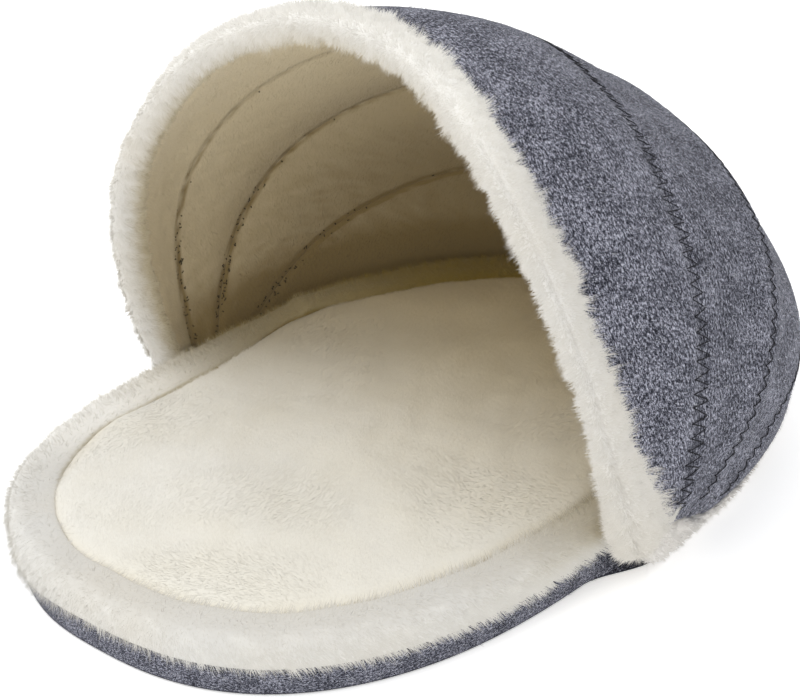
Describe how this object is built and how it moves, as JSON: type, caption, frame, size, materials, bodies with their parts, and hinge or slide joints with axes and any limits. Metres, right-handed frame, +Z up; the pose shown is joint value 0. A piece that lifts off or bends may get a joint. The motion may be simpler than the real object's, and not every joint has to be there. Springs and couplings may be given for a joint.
{
  "type": "shoe-shaped cat house",
  "caption": "Slipper-shaped cat house: oval padded sole with a plush rim and cushion under a felt hood of fanned gores, plush lined, with a fur-trimmed mouth.",
  "frame": {"origin": "on the floor, under the middle of the whole house", "axes": "+Z up, the open toe and the hood's mouth towards -Y, the closed heel towards +Y, +X to the right as seen from the toe"},
  "size_m": [0.3844, 0.5014, 0.2821],
  "materials": {
    "grey_felt": "needle felt, blue-grey melange with dark and pale fibres",
    "lining_plush": "short cream plush",
    "cream_plush": "short dense cream plush",
    "cream_fur": "soft cream faux fur with a pile of about a centimetre",
    "dark_thread": "matt charcoal sewing thread of the zigzag seams"
  },
  "bodies": {
    "root": {"base_sole": "grey_felt", "rim_bolster": "cream_fur", "cushion": "cream_plush", "hood_felt_1": "grey_felt", "hood_felt_2": "grey_felt", "hood_felt_3": "grey_felt", "hood_felt_4": "grey_felt", "hood_lining_1": "lining_plush", "hood_lining_2": "lining_plush", "hood_lining_3": "lining_plush", "hood_lining_4": "lining_plush", "mouth_trim": "cream_fur", "hem_binding": "cream_fur"}
  },
  "joints": []
}
